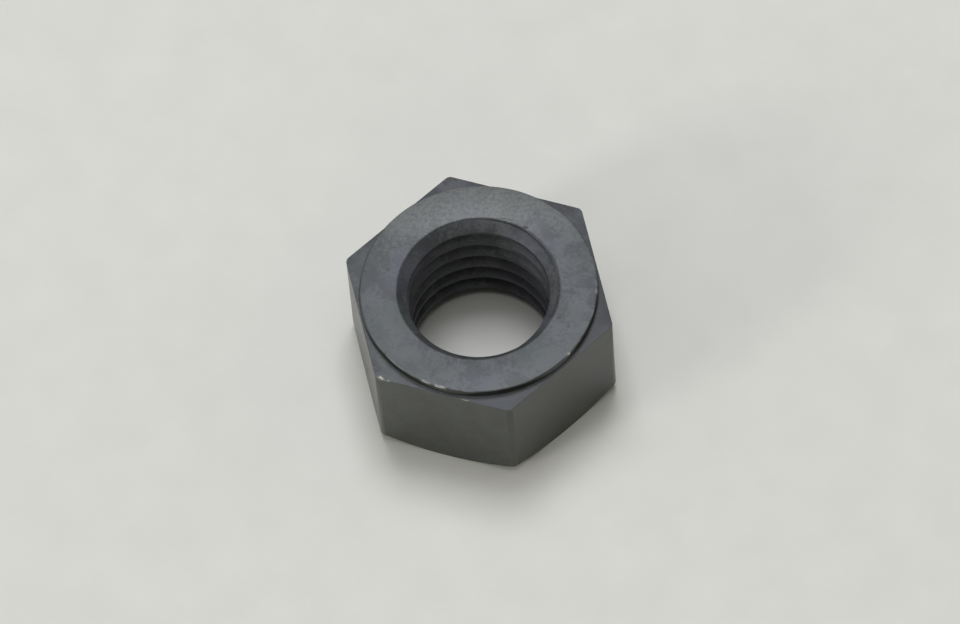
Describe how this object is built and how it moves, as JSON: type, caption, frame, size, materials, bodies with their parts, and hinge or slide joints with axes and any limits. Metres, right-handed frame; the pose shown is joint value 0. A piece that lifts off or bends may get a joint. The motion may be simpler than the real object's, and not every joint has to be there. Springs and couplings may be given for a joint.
{
  "type": "hex nut",
  "caption": "Steel hexagon nut with a raised round washer face, chamfered corners and a countersunk, right-hand threaded bore.",
  "frame": {"origin": "centre of the bottom face, on the thread axis", "axes": "+Z along the thread axis and out of the raised washer face; two opposite corners of the hexagon on +X and -X; two flats face +Y and -Y"},
  "size_m": [0.0328, 0.0286, 0.0159],
  "materials": {
    "black_oxide_steel": "satin black oxide over turned and drawn steel"
  },
  "bodies": {
    "root": {"nut_body": "black_oxide_steel"}
  },
  "joints": []
}
